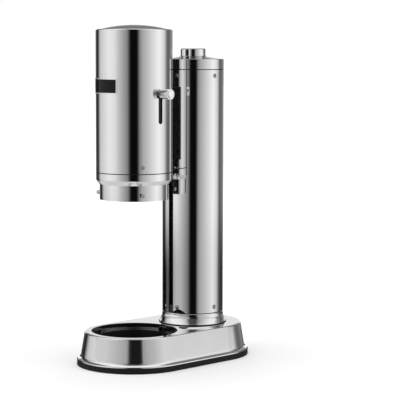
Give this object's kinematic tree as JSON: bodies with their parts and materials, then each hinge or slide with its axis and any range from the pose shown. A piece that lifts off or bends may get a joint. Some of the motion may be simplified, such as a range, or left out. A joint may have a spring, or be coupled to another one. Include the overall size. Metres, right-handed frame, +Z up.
{
  "type": "sparkling water maker",
  "caption": "Carbonator with an oval base, a gas column with a push button, and a bottle chamber that slides on the column, with a side handle that lowers the nozzle.",
  "frame": {"origin": "on the table under the middle of the oval base, halfway between the chamber's and the column's axes", "axes": "+Z up along both tubes, -Y to the front where the bottle chamber is, +X to the side of the handle"},
  "size_m": [0.16, 0.274, 0.471],
  "materials": {
    "polished_steel": "polished",
    "plain_steel": "satin",
    "dark_screw": "satin",
    "cast_aluminium": "satin",
    "black_casting": "satin",
    "brass": "satin",
    "black_plastic": "satin",
    "dark_plastic": "satin",
    "pale_plastic": "satin",
    "black_gloss": "gloss",
    "rubber": "matte",
    "food_steel": "satin"
  },
  "bodies": {
    "stand": {"base_shell": "polished_steel", "rubber_foot": "rubber", "bottom_plate": "plain_steel", "bottom_screws": "dark_screw", "drip_tray": "dark_plastic", "catch_ring": "black_plastic", "bottle_grid": "dark_plastic", "stud_catches": "plain_steel", "column_collar": "polished_steel", "column_tube": "polished_steel", "column_screws": "plain_steel", "column_lid": "polished_steel", "lid_screws": "dark_screw", "foot_block": "dark_plastic", "head_block": "cast_aluminium", "column_bolts": "dark_screw", "guide_rods": "plain_steel", "valve_block": "brass", "valve_gasket": "rubber", "co2_cylinder": "plain_steel", "cylinder_valve": "brass", "upper_hose_barb": "brass", "button_spring": "plain_steel"},
    "chamber": {"chamber_tube": "polished_steel", "chamber_cap": "polished_steel", "chamber_collar": "polished_steel", "liner_tube": "food_steel", "lock_studs": "plain_steel", "chamber_screws": "plain_steel", "badge_frame": "polished_steel", "badge_plate": "black_gloss", "arm_plate": "black_casting", "arm_screws": "dark_screw", "carriage": "dark_plastic", "carriage_bushes": "pale_plastic", "carriage_screws": "dark_screw", "lower_hose_barb": "brass", "pipe_port": "brass", "gas_pipe": "plain_steel", "feed_tube": "plain_steel", "head_guide_pin": "plain_steel"},
    "handle": {"handle_knob": "polished_steel", "handle_stem": "plain_steel", "handle_slider": "black_plastic", "nozzle_yoke": "cast_aluminium", "yoke_screws": "dark_screw", "nozzle_head": "dark_plastic", "relief_valve": "brass", "feed_seal": "rubber", "bottle_seal": "rubber", "nozzle_tube": "food_steel", "nozzle_tip": "pale_plastic"},
    "button": {"button_cap": "polished_steel", "push_rod": "plain_steel", "valve_pin": "brass"}
  },
  "joints": [
    {"name": "chamber_slide", "type": "slide", "parent": "stand", "child": "chamber", "axis": [0, 0, 1], "range_m": [-0.197, 0]},
    {"name": "handle_slide", "type": "slide", "parent": "chamber", "child": "handle", "axis": [0, 0, 1], "range_m": [-0.037, 0]},
    {"name": "button_press", "type": "slide", "parent": "stand", "child": "button", "axis": [0, 0, 1], "range_m": [-0.005, 0], "stiffness_N_per_m": 1200, "springref_m": 0.003, "deforming": ["button_spring"]}
  ]
}
